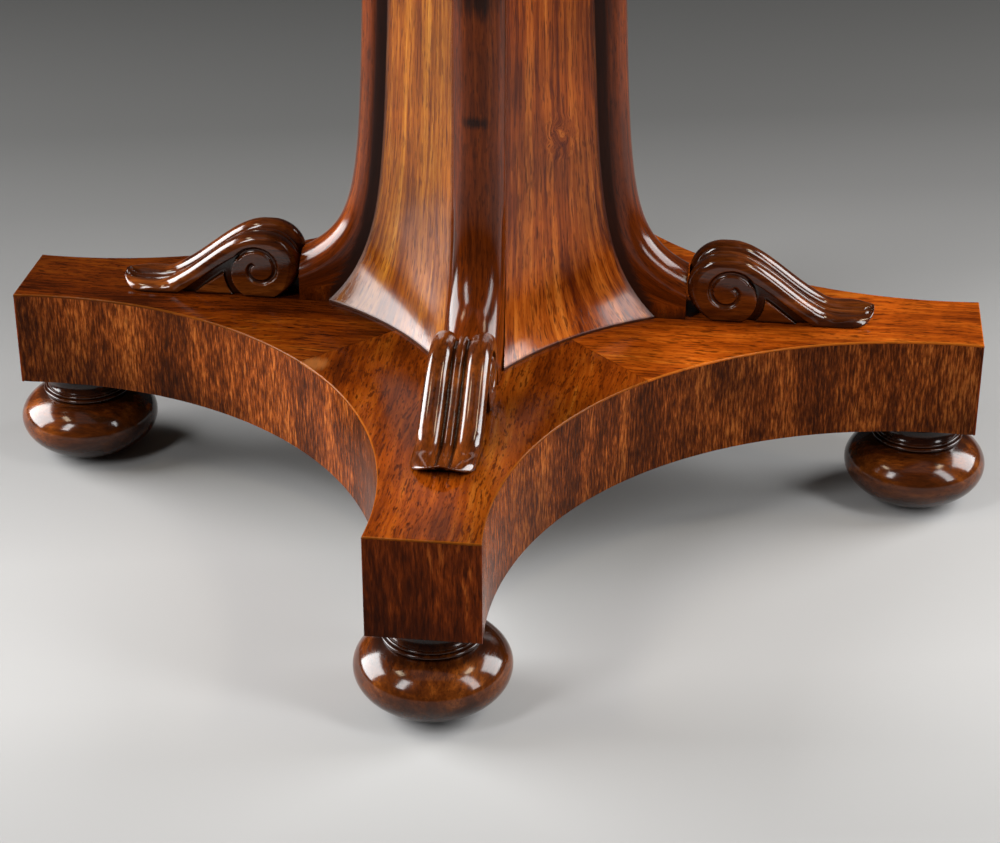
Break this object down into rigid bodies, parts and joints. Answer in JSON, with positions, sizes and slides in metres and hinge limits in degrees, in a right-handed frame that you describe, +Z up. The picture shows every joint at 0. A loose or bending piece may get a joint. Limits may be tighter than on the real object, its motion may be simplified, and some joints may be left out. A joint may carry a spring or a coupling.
{
  "type": "chess table",
  "caption": "Pedestal chess table: concave-sided platform on bun feet, flared square column with corner ribs and scroll brackets, and a tip-up chequered top.",
  "frame": {"origin": "on the floor under the centre of the column", "axes": "+Z up; X and Y square to the column faces and the top's sides, so the platform's arms lie on the diagonals; the top hinges at its -Y side of the block and the catch is at +Y"},
  "size_m": [0.54, 0.54, 0.7213],
  "materials": {
    "pine_core": "bare sawn softwood, hidden under the show wood",
    "rosewood_veneer": "rosewood veneer, French polished to a high gloss",
    "rosewood_carved": "solid dark rosewood, carved or turned, French polished",
    "rosewood_face": "orange-brown rosewood with dark flecks, French polished",
    "beech": "bare beech",
    "mahogany": "plain mahogany, lightly waxed",
    "maple_square": "pale maple veneer, polished",
    "rosewood_square": "dark rosewood veneer, polished",
    "boxwood_string": "boxwood line, polished",
    "brass": "aged lacquered brass",
    "steel_screw": "dull steel"
  },
  "bodies": {
    "stand": {"bun_foot_ne": "rosewood_carved", "bun_foot_nw": "rosewood_carved", "bun_foot_se": "rosewood_carved", "bun_foot_sw": "rosewood_carved", "catch_keeper": "brass", "collar_moulding": "rosewood_carved", "column_core": "pine_core", "column_face_e": "rosewood_face", "column_face_n": "rosewood_face", "column_face_s": "rosewood_face", "column_face_w": "rosewood_face", "corner_rib_ne": "rosewood_carved", "corner_rib_nw": "rosewood_carved", "corner_rib_se": "rosewood_carved", "corner_rib_sw": "rosewood_carved", "pivot_block": "mahogany", "pivot_pin_e": "beech", "pivot_pin_w": "beech", "platform_core": "pine_core", "platform_end_veneer_ne": "rosewood_veneer", "platform_end_veneer_nw": "rosewood_veneer", "platform_end_veneer_se": "rosewood_veneer", "platform_end_veneer_sw": "rosewood_veneer", "platform_side_veneer_e": "rosewood_veneer", "platform_side_veneer_n": "rosewood_veneer", "platform_side_veneer_s": "rosewood_veneer", "platform_side_veneer_w": "rosewood_veneer", "platform_top_veneer_ne": "rosewood_veneer", "platform_top_veneer_nw": "rosewood_veneer", "platform_top_veneer_se": "rosewood_veneer", "platform_top_veneer_sw": "rosewood_veneer", "scroll_bracket_ne": "rosewood_carved", "scroll_bracket_nw": "rosewood_carved", "scroll_bracket_se": "rosewood_carved", "scroll_bracket_sw": "rosewood_carved", "tenon_wedge_1": "beech", "tenon_wedge_2": "beech"},
    "top": {"bearer_e": "mahogany", "bearer_e_screw_1": "steel_screw", "bearer_e_screw_2": "steel_screw", "bearer_w": "mahogany", "bearer_w_screw_1": "steel_screw", "bearer_w_screw_2": "steel_screw", "border_e": "rosewood_veneer", "border_n": "rosewood_veneer", "border_s": "rosewood_veneer", "border_w": "rosewood_veneer", "catch_plate": "brass", "dark_squares": "rosewood_square", "edge_moulding_e": "rosewood_carved", "edge_moulding_n": "rosewood_carved", "edge_moulding_s": "rosewood_carved", "edge_moulding_w": "rosewood_carved", "light_squares": "maple_square", "stringing": "boxwood_string", "top_panel": "pine_core"},
    "bolt": {"catch_bolt": "brass"}
  },
  "joints": [
    {"name": "top_tilt", "type": "hinge", "parent": "stand", "child": "top", "pos_m": [0, -0.062, 0.6836], "axis": [1, 0, 0], "range_deg": [0, 90]},
    {"name": "catch_slide", "type": "slide", "parent": "top", "child": "bolt", "axis": [0, -1, 0], "range_m": [0, 0.012]}
  ]
}
